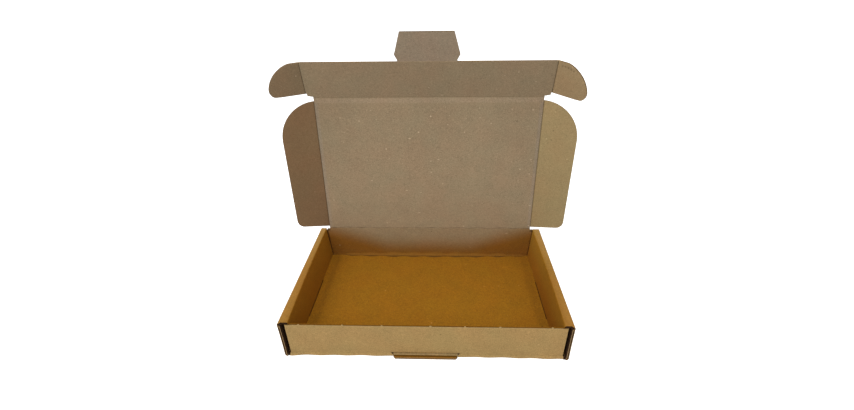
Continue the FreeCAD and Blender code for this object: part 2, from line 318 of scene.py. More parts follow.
def kraft(name, tone, paint=None, grit=1.0, pale=1.0, marks=()):
    """Recycled kraft liner: cloudy stock, fine grain, short fibres, pale and dark specks.
    paint gives the colour at each place, grit the grain's strength and pale that of the pale specks."""
    n = Nodes(name)
    coordinates = n.add("ShaderNodeTexCoord")
    place = n.stretched(coordinates.outputs["Object"], (1000.0, 1000.0, 1000.0), (0, 0, 0))
    cloud = n.noise(place, 0.045, 3.0)
    stock = n.noise(place, 0.33, 2.0, 0.6)
    grain = n.noise(place, 1.0, 3.0, 0.7)
    fibre_a = n.noise(n.stretched(place, (0.35, 2.6, 2.6), (0.3, 0.5, 0.4)), 0.9, 2.0, 0.6)
    fibre_b = n.noise(n.stretched(place, (2.4, 0.4, 2.2), (0.9, 0.2, -0.7)), 0.9, 2.0, 0.6)
    shade = n.plus(n.span(cloud, 0.3, 0.7, -0.035, 0.035), n.span(stock, 0.25, 0.75, -0.06, 0.06))
    shade = n.plus(shade, n.span(grain, 0.25, 0.75, -0.24, 0.24))
    shade = n.plus(shade, n.span(fibre_a, 0.3, 0.7, -0.07, 0.07))
    shade = n.plus(shade, n.span(fibre_b, 0.3, 0.7, -0.06, 0.06))
    level = n.plus(n.times(shade, grit), 1.0)
    base = paint(n, coordinates.outputs["Object"]) if paint else tone
    hue = n.span(n.noise(place, 0.03, 2.0), 0.35, 0.65)
    tint = n.mix(hue, (1.025, 0.99, 0.975, 1), (0.98, 1.008, 1.0, 1))
    colour = n.tinted(n.tinted(base, tint), n.grey(level))
    light = tuple(min(1.0, c * 1.9 + 0.05) for c in tone[:3]) + (1.0,)
    dark = darker(tone, 0.32)
    pale_marks = n.specks(place, 0.07, 0.1, 0.45)
    pale_fibres = n.specks(n.stretched(place, (0.45, 1.7, 1.0), (0.4, 0.3, 0.8)), 0.08, 0.085, 0.4)
    small_pale = n.specks(place, 0.2, 0.17, 0.4)
    dark_marks = n.specks(n.stretched(place, (1.0, 1.0, 1.0), (0.7, 0.2, 0.1)), 0.06, 0.075, 0.4)
    small_dark = n.specks(n.stretched(place, (1.2, 1.0, 0.9), (0.1, 0.9, 0.4)), 0.2, 0.16, 0.35)
    colour = n.mix(n.times(pale_marks, 0.75 * pale), colour, light)
    colour = n.mix(n.times(pale_fibres, 0.6 * pale), colour, light)
    colour = n.mix(n.times(small_pale, 0.35 * pale), colour, light)
    colour = n.mix(n.times(dark_marks, 0.6), colour, dark)
    colour = n.mix(n.times(small_dark, 0.3), colour, dark)
    for spot, radius, strength in marks:
        near = n.add("ShaderNodeVectorMath", operation="DISTANCE")
        n.link(place, near.inputs[0])
        near.inputs[1].default_value = spot
        inside = n.span(near.outputs["Value"], radius * 0.5, radius, abs(strength), 0.0)
        colour = n.mix(inside, colour, dark if strength > 0 else light)
    # Painted shade from the mesh's shade attribute, along creases and on the back wall's shoulders, and
    # painted light where it is below 0.
    painted_shading = n.add("ShaderNodeAttribute", attribute_name="shade")
    colour = n.tinted(colour, n.grey(n.maths("SUBTRACT", 1.0, painted_shading.outputs["Fac"])))
    bump_height = n.plus(n.times(grain, 0.6), n.times(fibre_a, 0.4))
    bump = n.add("ShaderNodeBump", Strength=0.25, Distance=0.0002)
    n.link(bump_height, bump.inputs["Height"])
    shader = n.add("ShaderNodeBsdfPrincipled", Roughness=0.88)
    shader.inputs["Specular IOR Level"].default_value = 0.18
    n.link(colour, shader.inputs["Base Color"])
    n.link(bump.outputs["Normal"], shader.inputs["Normal"])
    output = n.add("ShaderNodeOutputMaterial")
    n.link(shader.outputs["BSDF"], output.inputs["Surface"])
    return n.material


def millimetres(n, coordinates, axis):
    """One coordinate in millimetres, as a socket."""
    split = n.add("ShaderNodeSeparateXYZ")
    n.link(coordinates, split.inputs[0])
    return n.times(split.outputs["XYZ".index(axis)], 1000.0)


TONES = {
    "lid": srgb(147, 128, 101),
    "lid_side": srgb(145, 128, 106),
    "lid_crease_highlight": srgb(154, 134, 108),
    "front": srgb(135, 117, 92),
    # The left flap and ear are painted darker and the right ones lighter: painted shade and light for how
    # each faces the lamp on the left.
    "left_flap": srgb(115, 90, 63),
    "right_flap": srgb(151, 130, 92),
    "left_ear": srgb(123, 103, 78),
    "right_ear": srgb(151, 127, 94),
    "tab": srgb(139, 122, 102),
    "floor": srgb(151, 101, 18),
    "back_top": srgb(155, 134, 103),
    "back_shade": srgb(134, 89, 28),
    "left_wall": srgb(150, 97, 16),
    "left_wall_back": srgb(157, 105, 21),
    "right_wall": srgb(148, 97, 19),
    "right_wall_back": srgb(164, 114, 32),
    "rim": srgb(160, 115, 49),
    "rim_back": srgb(172, 133, 70),
    "rim_fold": srgb(176, 146, 98),
    "lip": srgb(160, 128, 80),
    "outside": srgb(161, 132, 84),
    "edge": srgb(168, 140, 100),
    "core": srgb(120, 92, 60),
    # Painted shade: dark faces and near black plates seen in gaps and slots
    "hidden": srgb(52, 32, 13),
    "gap": srgb(20, 8, 3),
    "outside_edge": srgb(170, 142, 95),
}

# Single marks in the paper: place, radius and how dark each is, below 0 for a pale one
MARKS = {
    "right_flap": (
        ((152.9, 96.3, 184.7), 1.3, 0.5),
        ((151.9, 95.4, 173.0), 1.1, 0.35),
        ((152.5, 98.1, 207.4), 0.9, -0.3),
    ),
    "lid": (
        ((108.0, 98.4, 196.2), 1.2, 0.55),
        ((-79.9, 87.5, 60.5), 1.2, 0.5),
        ((-108.0, 98.8, 200.8), 1.0, -0.35),
        ((-106.6, 96.3, 170.2), 1.0, -0.35),
        ((-57.5, 87.1, 56.2), 1.3, -0.4),
        ((129.6, 94.5, 147.4), 1.2, -0.35),
    ),
    "floor": (((131.9, -46.5, 2.5), 1.1, 0.8),),
    "front": (
        ((-130.5, 91.1, 266.5), 0.9, 0.45),
        ((-132.4, 92.5, 260.5), 0.9, 0.35),
        ((103.5, 93.8, 254.9), 1.0, -0.4),
        ((124.7, 96.4, 243.7), 1.0, -0.4),
    ),
    "left_ear": (((-157.2, 94.7, 232.9), 0.9, 0.4),),
    "right_ear": (
        ((149.9, 88.4, 262.2), 1.6, 0.4),
        ((152.6, 86.1, 261.8), 1.5, 0.45),
        ((155.4, 83.9, 261.0), 1.5, 0.5),
        ((158.1, 81.9, 259.7), 1.5, 0.5),
        ((160.8, 80.0, 258.0), 1.4, 0.4),
    ),
}


# How the inner walls' tone changes from the floor to the rim: painted light, stronger on the right wall,
# which faces the lamp
LOW_AND_HIGH = {
    "left": ((0.99, 0.98, 0.9, 1), (1.03, 1.08, 1.15, 1)),
    "right": ((0.99, 0.92, 0.75, 1), (1.12, 1.26, 1.45, 1)),
}


def back_paint(n, coordinates):
    """The back wall is greyish at its top and browner and darker towards the floor and, in a diagonal,
    towards the ends: painted shade where the tray shades it.
    A painted shadow darkens it where the side walls meet it."""
    z = millimetres(n, coordinates, "Z")
    x = n.maths("ABSOLUTE", millimetres(n, coordinates, "X"))
    ends = n.span(x, 60.0, 140.0, 0.0, 27.0)
    rise = n.span(n.maths("SUBTRACT", z, ends), 4.0, 40.0, smooth=True)
    base = n.mix(rise, TONES["back_shade"], TONES["back_top"])
    meeting = n.span(z, 0.0, WALL_HEIGHT, INNER_FACE_FRONT, INNER_FACE_BACK)
    # Painted shadow in the corners at the side walls
    near = n.span(n.maths("SUBTRACT", meeting, x), 0.4, 2.0, smooth=True)
    return n.mix(near, darker(TONES["back_shade"], 0.35), base)


def floor_paint(n, coordinates):
    """The floor is darker along the side walls, more so on the left, as painted shade, and painted light
    brightens it again at their feet.
    Its lip has a painted light root where it runs into the shade under the front wall, standing in for the
    wall's light lower edge, and a painted shadow line in front of it."""
    x = millimetres(n, coordinates, "X")
    y = millimetres(n, coordinates, "Y")
    # Painted shade along the side walls
    past_left_wall_shade = n.span(x, -132.0, -122.0, smooth=True)
    right_wall_shade = n.span(x, 123.0, 131.0, smooth=True)
    base = n.mix(past_left_wall_shade, darker(TONES["floor"], 0.8), TONES["floor"])
    base = n.mix(right_wall_shade, base, darker(TONES["floor"], 0.86))
    # Painted light at the walls' feet
    left_foot_light = n.times(n.span(x, -129.0, -134.5, 1.0, 1.28), n.span(x, -134.5, -139.5, 1.0, 1.14))
    foot_light = n.times(left_foot_light, n.span(x, 134.0, 139.5, 1.0, 1.15))
    base = n.tinted(base, n.grey(foot_light))
    # Painted shadow line in front of the front wall
    lip_shadow = n.times(n.span(y, -92.3, -90.0, smooth=True), n.span(y, -88.0, -88.1))
    base = n.mix(lip_shadow, base, darker(TONES["floor"], 0.36))
    across_lip = n.span(n.maths("ABSOLUTE", x), LIP_HALF + 2.4, LIP_HALF + 1.4)
    # Painted light over the shade under the front wall
    root = n.times(n.span(y, -89.2, -88.7, smooth=True), n.span(y, FRONT_FACE + 2.6, FRONT_FACE + 2.2))
    return n.mix(n.times(root, across_lip), base, TONES["outside_edge"])


def wall_paint(hand):
    """An inner side wall is greyer and lighter towards the back and the rim as painted light, with a painted
    shadow line at its foot.
    """
    low, high = LOW_AND_HIGH[hand]

    def paint(n, coordinates):
        y = millimetres(n, coordinates, "Y")
        z = millimetres(n, coordinates, "Z")
        base = n.mix(n.span(y, -30.0, 80.0, smooth=True), TONES[hand + "_wall"], TONES[hand + "_wall_back"])
        base = n.tinted(base, n.mix(n.span(z, 8.0, 38.0, smooth=True), low, high))
        past_start = n.span(y, FOOT_START - 1, FOOT_START + 1)
        before_end = n.span(y, FOOT_END + 1, FOOT_END - 1)
        beside_foot = n.times(past_start, before_end)
        # Painted shadow line where the wall meets the floor, darkest beside the foot slot
        line = n.times(n.span(z, 4.0, 3.0), n.span(beside_foot, 0.0, 1.0, 0.25, 0.6))
        return n.mix(line, base, TONES["gap"])
    return paint


def rim_paint(n, coordinates):
    """A rim is lighter at the back, and more ochre along its inner edge."""
    x = n.maths("ABSOLUTE", millimetres(n, coordinates, "X"))
    y = millimetres(n, coordinates, "Y")
    base = n.mix(n.span(y, -10.0, 85.0, smooth=True), TONES["rim"], TONES["rim_back"])
    side = n.mix(n.span(x, 142.5, 147.0, smooth=True), (0.92, 0.88, 0.75, 1), (1.0, 1.0, 1.0, 1))
    fold = n.span(x, HALF_WIDTH - 0.4, HALF_WIDTH + 0.8)
    return n.mix(fold, n.tinted(base, side), TONES["rim_fold"])


def outside_paint(n, coordinates):
    """The front wall's upright folds get a painted highlight, and its top edge is a little lighter."""
    x = n.maths("ABSOLUTE", millimetres(n, coordinates, "X"))
    z = millimetres(n, coordinates, "Z")
    # Painted highlight along the upright folds
    fold = n.times(n.span(x, FRONT_PLY - 2.1, FRONT_PLY - 0.9), n.span(x, FRONT_PLY + 0.9, FRONT_PLY + 0.5))
    z = n.maths("SUBTRACT", z, LOW_WALL_TOP)
    highlight_and_top_band = n.maths("MAXIMUM", fold, n.times(n.span(z, -1.1, -0.3), n.span(z, 0.3, 0.1)))
    return n.tinted(TONES["outside"], n.grey(n.span(highlight_and_top_band, 0.0, 1.0, 1.0, 1.14)))


def cut_paint(tone):
    """Cut edges. The front wall's top edge is light in front and ochre behind, and its flutes' voids are
    painted in these tones down to 3 mm below the edge, which paints out their shade. The rims' front ends are
    darkened with painted shade.
    """
    def paint(n, coordinates):
        x = n.maths("ABSOLUTE", millimetres(n, coordinates, "X"))
        y = millimetres(n, coordinates, "Y")
        z = millimetres(n, coordinates, "Z")
        # Painted light in the flutes' voids at the front wall's top edge
        wall = n.times(n.span(y, -85.2, -85.4), n.span(z, 40.0, 40.5))
        across = n.mix(n.span(y, -87.2, -86.9), TONES["outside_edge"], darker(TONES["floor"], 0.9))
        base = n.mix(wall, TONES[tone], across)
        # Painted shade on the rims' front ends
        end = n.times(n.span(z, 43.0, 43.2), n.span(y, -85.4, -85.8))
        end = n.times(end, n.span(x, 138.5, 139.0))
        return n.mix(end, base, TONES["hidden"])
    return paint


def lid_paint(n, coordinates):
    """The lid has a greyer band beside its side creases and a painted highlight below its front crease, where
    the board bulges.
    A painted gradient of light and shade makes it darker towards its front crease and its sides, against how
    the lamp falls on it."""
    x = n.maths("ABSOLUTE", millimetres(n, coordinates, "X"))
    z = millimetres(n, coordinates, "Z")
    grey = n.mix(n.span(x, SIDE_AXIS - 5.5, SIDE_AXIS - 3.0, smooth=True), TONES["lid"], TONES["lid_side"])
    top = FRONT_AT[2]
    rise = n.span(z, top - 8.0, top - 5.0, smooth=True)
    fall = n.span(z, top - 0.6, top - 1.8, smooth=True)
    base = n.mix(n.times(rise, fall), grey, TONES["lid_crease_highlight"])
    # Painted light and shade that even out how the lamp falls on the lid
    level = n.times(n.span(z, 60.0, 215.0, 1.12, 0.88), n.span(x, 70.0, 130.0, 1.02, 0.94))
    return n.tinted(base, n.grey(level))


PLAIN = (
    "front", "left_flap", "right_flap", "left_ear", "right_ear", "tab", "lip",
    "hidden", "gap", "outside_edge",
)
MATERIALS = {name: kraft(name + "_kraft", TONES[name], marks=MARKS.get(name, ()), pale=0.7) for name in PLAIN}
for surface, tone, paint, grit, pale in (
    ("outside", "outside", outside_paint, 1.5, 0.35),
    ("floor", "floor", floor_paint, 1.35, 0.6),
    ("back", "back_top", back_paint, 1.0, 0.55),
    ("lid", "lid", lid_paint, 1.15, 1.0),
    ("left_wall", "left_wall", wall_paint("left"), 1.0, 0.4),
    ("right_wall", "right_wall", wall_paint("right"), 1.0, 0.4),
    ("rim", "rim", rim_paint, 1.0, 0.4),
    ("edge", "edge", cut_paint("edge"), 1.0, 0.3),
    ("core", "core", cut_paint("core"), 1.0, 0.3),
):
    MATERIALS[surface] = kraft(surface + "_kraft", TONES[tone], paint, grit, pale, MARKS.get(surface, ()))


# Board meshes

def lengths(start, end, step):
    """Evenly spaced values, the ends included."""
    count = max(2, int(math.ceil(abs(end - start) / step)) + 1)
    return np.linspace(start, end, count)


def flute_rows(start, end):
    return lengths(start, end, FLUTE_PITCH / ROWS_PER_FLUTE)


def close_rows(start, end):
    """Rows that stand closer together near both ends, where outlines are round."""
    near = (0.0, 0.06, 0.25, 0.6, 1.1, 1.8, 2.7, 3.9)
    reach = near[-1]
    if end - start < 3 * reach:
        return lengths(start, end, 0.5)
    middle = lengths(start + reach, end - reach, FLAP_STEP)
    return np.array([start + d for d in near[:-1]] + list(middle) + [end - d for d in reversed(near[:-1])])


def rounded_path(corners, radii, parts=RUN_PARTS):
    """Points along a bent line: straight runs divided into parts, and an arc at each inner corner."""
    corners = [np.array(c, float) for c in corners]
    arcs = []
    for k, radius in enumerate(radii, start=1):
        here = corners[k]
        d0 = (here - corners[k - 1]) / np.linalg.norm(here - corners[k - 1])
        d1 = (corners[k + 1] - here) / np.linalg.norm(corners[k + 1] - here)
        turn = math.acos(max(-1.0, min(1.0, float(d0 @ d1))))
        inward = (d1 - d0 * math.cos(turn)) / math.sin(turn)
        start = here - d0 * radius * math.tan(turn / 2)
        angles = np.linspace(0, turn, ARC_STEPS + 1)
        arcs.append([start + d0 * radius * math.sin(a) + inward * radius * (1 - math.cos(a)) for a in angles])
    points = []
    last = corners[0]
    for arc in arcs + [[corners[-1]]]:
        run = [last + (arc[0] - last) * k / parts for k in range(parts)]
        points += run if not points else run[1:]
        points += arc
        last = arc[-1]
    return np.array(points)


def bend(k):
    """The first, middle and last index of a path's bend k."""
    first = RUN_PARTS + k * (RUN_PARTS + ARC_STEPS)
    return first, first + ARC_STEPS // 2, first + ARC_STEPS


def distances(path):
    """How far each point of a path lies along it."""
    steps = np.linalg.norm(np.diff(path, axis=0), axis=1)
    return np.concatenate([[0], np.cumsum(steps)])


class Sheets:
    """Gathers closed slabs of board in one mesh."""

    def __init__(self):
        self.points = []
        self.shades = []
        self.faces = []
        self.marks = []
        self.materials = []

    def mark(self, name):
        if name not in self.materials:
            self.materials.append(name)
        return self.materials.index(name)

    def slab(self, low, high, under, over, edge, shade=None):
        """A closed slab between two grids of points, each rows by columns. shade darkens the high side."""
        rows, cols = low.shape[:2]
        size = rows * cols
        start = len(self.points)
        self.points += low.reshape(-1, 3).tolist() + high.reshape(-1, 3).tolist()
        plain = [0.0] * size
        self.shades += plain + (plain if shade is None else list(np.array(shade, float).reshape(-1)))
        under, over, edge = self.mark(under), self.mark(over), self.mark(edge)

        def at(i, j, side):
            return start + side * size + i * cols + j

        for i in range(rows - 1):
            for j in range(cols - 1):
                self.faces.append((at(i, j, 0), at(i + 1, j, 0), at(i + 1, j + 1, 0), at(i, j + 1, 0)))
                self.faces.append((at(i, j, 1), at(i, j + 1, 1), at(i + 1, j + 1, 1), at(i + 1, j, 1)))
                self.marks += [under, over]
        last = rows - 1
        for j in range(cols - 1):
            self.faces.append((at(0, j, 0), at(0, j + 1, 0), at(0, j + 1, 1), at(0, j, 1)))
            self.faces.append((at(last, j + 1, 0), at(last, j, 0), at(last, j, 1), at(last, j + 1, 1)))
            self.marks += [edge, edge]
        last = cols - 1
        for i in range(rows - 1):
            self.faces.append((at(i + 1, 0, 0), at(i, 0, 0), at(i, 0, 1), at(i + 1, 0, 1)))
            self.faces.append((at(i, last, 0), at(i + 1, last, 0), at(i + 1, last, 1), at(i, last, 1)))
            self.marks += [edge, edge]

    def board(self, surface, rows, cols, outer, inner, core_rows=None, travel=None, shade=None):
        """Board between an outer and an inner face. surface(s, t) gives a point on each face.
        Rows run across the flutes and columns along them. travel(s) is the distance across the flutes,
        and shade(s, t) gives the painted shade on the inner face, or painted light where it is below 0."""
        def grids(row_values):
            pairs = [[surface(s, t) for t in cols] for s in row_values]
            both = np.array(pairs, float)
            return both[:, :, 0], both[:, :, 1]

        a, b = grids(rows)
        liner = LINER / BOARD
        self.slab(a, a + (b - a) * liner, outer, "core", "edge")
        painted_shades = None if shade is None else [[shade(s, t) for t in cols] for s in rows]
        self.slab(b - (b - a) * liner, b, "core", inner, "edge", painted_shades)
        fine = rows if core_rows is None else core_rows
        a, b = grids(fine)
        half = CORE / BOARD / 2
        swing = 0.5 - liner - half
        distance = np.array([s if travel is None else travel(s) for s in fine])
        wave = (0.5 + swing * np.sin(2 * math.pi * distance / FLUTE_PITCH))[:, None, None]
        self.slab(a + (b - a) * (wave - half), a + (b - a) * (wave + half), "core", "core", "core")

    def made(self, name):
        """The mesh object, in metres, with smooth bends and sharp edges."""
        mesh = bpy.data.meshes.new(name)
        mesh.from_pydata((np.array(self.points) * MM).tolist(), [], self.faces)
        for used in self.materials:
            mesh.materials.append(MATERIALS[used])
        mesh.polygons.foreach_set("material_index", self.marks)
        mesh.attributes.new("shade", "FLOAT", "POINT").data.foreach_set("value", self.shades)
        work = bmesh.new()
        work.from_mesh(mesh)
        bmesh.ops.recalc_face_normals(work, faces=work.faces)
        work.to_mesh(mesh)
        work.free()
        mesh.polygons.foreach_set("use_smooth", [True] * len(mesh.polygons))
        mesh.set_sharp_from_angle(angle=math.radians(SHARP_ANGLE))
        mesh.update()
        thing = bpy.data.objects.new(name, mesh)
        bpy.context.scene.collection.objects.link(thing)
        return thing


def place_piece(sheets, name, body, *nodes):
    """Makes a piece, sets it on its body and says which nodes it stands for."""
    piece = sheets.made(name)
    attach(piece, body)
    if nodes:
        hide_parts(*nodes)
    return piece


def wave(x):
    """How far a cut crease wanders at a place along it, to either side."""
    turn = 2 * math.pi * x / WAVE_PITCH
    return math.sin(turn) + 0.35 * math.sin(turn / 1.7 + 1.0)


def low_wave(x):
    """The same, from 0 to 1."""
    return 0.5 + 0.37 * wave(x)


# Tray

def side_of(point, side):
    return np.array([point[0] * side, point[1], point[2]])


def flat(sheets, x0, x1, y0, y1):
    """A stretch of floor."""
    def surface(y, x):
        return np.array([x, y, 0.0]), np.array([x, y, BOARD])
    rows, cols = lengths(y0, y1, FLOOR_STEP), lengths(x0, x1, COLUMN_STEP)
    sheets.board(surface, rows, cols, "outside", "floor", flute_rows(y0, y1))


def lip_half(y):
    """Half the lip's width at a place along it."""
    nose = max(0.0, (LIP_TIP + LIP_NOSE - y) / LIP_NOSE)
    return LIP_HALF - LIP_NOSE_SLOPE * nose - LIP_ROUND * nose ** 6


def make_base():
    """The floor with its foot slots, and the lip."""
    sheets = Sheets()
    slot_inner = INNER_FACE_FRONT - SLOT_SIDE
    slot_outer = INNER_FACE_FRONT + BOARD + SLOT_SIDE
    flat(sheets, -slot_inner, slot_inner, FLOOR_START, BACK_BEND_START)
    for side in (-1, 1):
        flat(sheets, side * slot_inner, side * FLOOR_EDGE_X, FLOOR_START, SLOT_START)
        flat(sheets, side * slot_outer, side * FLOOR_EDGE_X, SLOT_START, SLOT_END)
        flat(sheets, side * slot_inner, side * FLOOR_EDGE_X, SLOT_END, BACK_BEND_START)

    def lip(y, t):
        x = t * lip_half(y)
        return np.array([x, y, 0.0]), np.array([x, y, BOARD])

    sheets.board(lip, lengths(LIP_TIP, FLOOR_START, LIP_STEP), lengths(-1, 1, LIP_SHARE), "lip", "floor")
    return place_piece(sheets, "tray_base", "tray", "tray")


def inner_face(y):
    """Where the inner wall's face stands at its top: the corner flaps spread it towards the back."""
    share = (y + HALF_LENGTH) / (2 * HALF_LENGTH)
    return INNER_FACE_FRONT + (INNER_FACE_BACK - INNER_FACE_FRONT) * share


def side_paths(y, side):
    """The side's section at y: floor edge, outer wall, rim and inner wall, for the outer and inner face.
    The walls lean out a little at their tops, and the inner one bows."""
    share = (y + HALF_LENGTH) / (2 * HALF_LENGTH)
    front, back = WALL_LEAN[side]
    lean = front + (back - front) * share
    front, back, bow = INNER_LEAN[side]
    top = inner_face(y) + front + (back - front) * share + 4 * bow * share * (1 - share)
    outer = rounded_path(
        [(FLOOR_EDGE_X, 0), (HALF_WIDTH, 0), (HALF_WIDTH + lean, WALL_HEIGHT), (top, WALL_HEIGHT),
         (INNER_FACE_FRONT, INNER_FOOT_Z)],
        [FOLD_RADIUS, RIM_RADIUS, RIM_RADIUS],
    )
    inner = rounded_path(
        [(FLOOR_EDGE_X, BOARD), (WALL_FACE, BOARD), (WALL_FACE + lean, RIM_UNDER), (top + BOARD, RIM_UNDER),
         (INNER_FACE_FRONT + BOARD, INNER_FOOT_Z)],
        [INNER_FOLD_RADIUS, SHARP_RADIUS, SHARP_RADIUS],
    )
    return outer, inner


def row_reach(index):
    """From where to where along Y each part of the side's section runs."""
    if index < bend(0)[0]:
        return FLOOR_START - FLOOR_OVERLAP, FLOOR_END + FLOOR_OVERLAP
    if index <= bend(1)[2]:
        return -HALF_LENGTH, HALF_LENGTH
    if index <= bend(2)[2]:
        return RIM_START, HALF_LENGTH
    return INNER_WALL_START, INNER_WALL_END


def plate(sheets, side, x0, x1, y0, y1, low, high, tone):
    """A small flat plate of painted shade that closes a gap to view, given as on the right side."""
    places = np.array([[(side * x, y) for x in (x0, x1)] for y in (y0, y1)])
    grids = [np.dstack([places, np.full(places.shape[:2], z)]) for z in (low, high)]
    sheets.slab(grids[0], grids[1], tone, tone, tone)


def make_side(side, name, inner_tone):
    """Outer wall, rim and inner wall of one side, and the foot in its slot, with dark plates of painted shade
    in the floor's corner and the slot.
    """
    sheets = Sheets()
    upright = side_paths(0.0, side)[0][:, 1]
    rim_edge, rim_end = bend(1)[1], bend(2)[1]
    bands = ((0, rim_edge, "outside"), (rim_edge, rim_end, "rim"), (rim_end, len(upright) - 1, inner_tone))
    memory = {}

    def surface(y, index):
        start, end = row_reach(index)
        if start == -HALF_LENGTH:
            start -= END_SKEW * (1 - upright[index] / WALL_HEIGHT) ** 2
        share = (y + HALF_LENGTH) / (2 * HALF_LENGTH)
        place = start + (end - start) * share
        if place not in memory:
            memory[place] = side_paths(place, side)
        outer, inner = memory[place]
        a = side_of((outer[index][0], place, outer[index][1]), side)
        b = side_of((inner[index][0], place, inner[index][1]), side)
        return a, b

    rows = lengths(-HALF_LENGTH, HALF_LENGTH, SIDE_STEP)
    fine_rows = flute_rows(-HALF_LENGTH, HALF_LENGTH)
    # The walls' inner faces inside the fold are darkened with painted shade, as seen through the gaps.
    for first, last, tone in bands:
        sheets.board(surface, rows, range(first, last + 1), tone, "hidden", fine_rows)

    def foot(y, z):
        return side_of((INNER_FACE_FRONT, y, z), side), side_of((INNER_FACE_FRONT + BOARD, y, z), side)

    sheets.board(foot, lengths(FOOT_START, FOOT_END, SIDE_STEP), [INNER_FOOT_Z, FOOT_LIFT], inner_tone,
                 "hidden", flute_rows(FOOT_START, FOOT_END))
    # A dark plate of painted shade in the floor's front corner
    corner = (FRONT_PLY + CLEAR, WALL_FACE, FRONT_FACE - END_SKEW, FLOOR_START)
    plate(sheets, side, *corner, 0.15, BOARD - 0.3, "hidden")
    foot_outer = INNER_FACE_FRONT + BOARD
    slot_inner, slot_outer = INNER_FACE_FRONT - SLOT_SIDE, foot_outer + SLOT_SIDE
    # Near black plates of painted shade in the foot slot
    for x0, x1, y0, y1, low in (
        (slot_inner, slot_outer - 0.1, FOOT_END + 0.1, SLOT_END - CLEAR, 1.2),
        (slot_inner + CLEAR, INNER_FACE_FRONT - 2 * CLEAR, SLOT_START + CLEAR, FOOT_END, 0.5),
        (foot_outer + 2 * CLEAR, slot_outer - CLEAR, SLOT_START + CLEAR, FOOT_END, 0.5),
    ):
        plate(sheets, side, x0, x1, y0, y1, low, low + PLATE_THICK, "gap")
    return place_piece(sheets, name, "tray")


def wall_and_flap(sheets, side, ply, face, toward, reach, end_at, inner):
    """An end wall from end_at(z) to its upright corner, and the corner flap beyond it."""
    tip = face - toward * reach

    def surface(z, index):
        drop = max(0.0, (z - LOW_WALL_TOP + FLAP_TAPER_DROP) / FLAP_TAPER_DROP)
        end = tip + toward * FLAP_TAPER * drop
        x = end_at(z)
        low = face - toward * BOARD
        outer = [(x, face), (ply, face), (ply, end)]
        inside = [(x, low), (ply - BOARD, low), (ply - BOARD, end)]
        a = rounded_path(outer, [CORNER_RADIUS], LONG_RUN_PARTS)[index]
        b = rounded_path(inside, [SHARP_RADIUS], LONG_RUN_PARTS)[index]
        return side_of((a[0], a[1], z), side), side_of((b[0], b[1], z), side)

    rows = lengths(FOLD_RADIUS, LOW_WALL_TOP, WALL_STEP)
    count = 2 * LONG_RUN_PARTS + ARC_STEPS + 1
    sheets.board(surface, rows, range(count), "outside", inner, flute_rows(FOLD_RADIUS, LOW_WALL_TOP))


def slot_side(z):
    """Half the locking slot's width at a height."""
    share = max(0.0, min(1.0, (z - BOARD) / (LOCK_SLOT_TOP - BOARD)))
    return LOCK_SLOT_LOW + (LOCK_SLOT_HIGH - LOCK_SLOT_LOW) * share


def bulge(x):
    """How far the pressed crease swells outwards at a place along it: more towards the wall's ends."""
    share = abs(x) / BACK_PLY
    return (SWELL_LEAST + SWELL_WAVE * low_wave(x)) * (1 + SWELL_AT_ENDS * share ** 4)


def front_bend(sheets, side):
    """The bend between the floor and the front wall beside the slot, with a crease that swells a little."""
    low = FRONT_FACE + BOARD
    outer = rounded_path([(FLOOR_START, 0), (FRONT_FACE, 0), (FRONT_FACE, BEND_TOP)], [END_FOLD_RADIUS])
    inside = rounded_path([(FLOOR_START, BOARD), (low, BOARD), (low, BEND_TOP)], [INNER_FOLD_RADIUS])

    def beside(z, t):
        half = slot_side(z) if z > BOARD + 0.05 else LIP_HALF + LIP_PLAY
        return side * (half + (FRONT_PLY - half) * t)

    def surface(index, t):
        a, b = outer[index], inside[index]
        x = beside(a[1], t)
        swell = FRONT_SWELL * bulge(x) * max(0.0, 1 - (a[1] / BEND_TOP) ** 2)
        push = swell if a[0] < FLOOR_START - 1.5 else 0.0
        return np.array([x, a[0] - push, a[1]]), np.array([beside(b[1], t), b[0], b[1]])

    travelled = distances(outer)
    sheets.board(surface, range(len(outer)), lengths(0, 1, BEND_SHARE), "outside", "floor",
                 travel=lambda i: travelled[i])


def back_bend(sheets):
    """The bend between the floor and the back wall. Its rounded inner side starts at a scalloped crease."""
    low = HALF_LENGTH - BOARD
    corners = [(BACK_BEND_START, 0), (HALF_LENGTH, 0), (HALF_LENGTH, BACK_BEND_TOP)]
    outer = rounded_path(corners, [END_FOLD_RADIUS], BEND_RUN_PARTS)
    sections = {}

    def section(x):
        if x not in sections:
            middle = max(0.0, 1 - (abs(x) / INNER_FACE_FRONT) ** BACK_SQUARENESS)
            radius = INNER_FOLD_RADIUS + BACK_ROUND * middle + BACK_SCALLOP * (low_wave(x) - 0.5)
            radius = max(BACK_SHARP, radius)
            corners = [(BACK_BEND_START, BOARD), (low, BOARD), (low, BACK_BEND_TOP)]
            sections[x] = rounded_path(corners, [radius], BEND_RUN_PARTS)
        return sections[x]

    def surface(index, x):
        a, b = outer[index], section(x)[index]
        tucks = [TUCK if point[1] > BEND_TOP else 0.0 for point in (a, b)]
        return np.array([x, a[0] - tucks[0], a[1]]), np.array([x, b[0] - tucks[1], b[1]])

    # Painted shade along the scalloped crease line.
    def crease_shading(index, x):
        return BACK_CREASE_SHADE.get(index - BEND_RUN_PARTS, 0.0) * (0.55 + 0.45 * low_wave(x))

    travelled = distances(outer)
    cols = lengths(-BACK_PLY, BACK_PLY, BACK_STEP)
    for first, last, tone in ((0, BEND_RUN_PARTS, "floor"), (BEND_RUN_PARTS, len(outer) - 1, "back")):
        sheets.board(surface, range(first, last + 1), cols, "outside", tone,
                     travel=lambda i: travelled[i], shade=crease_shading)


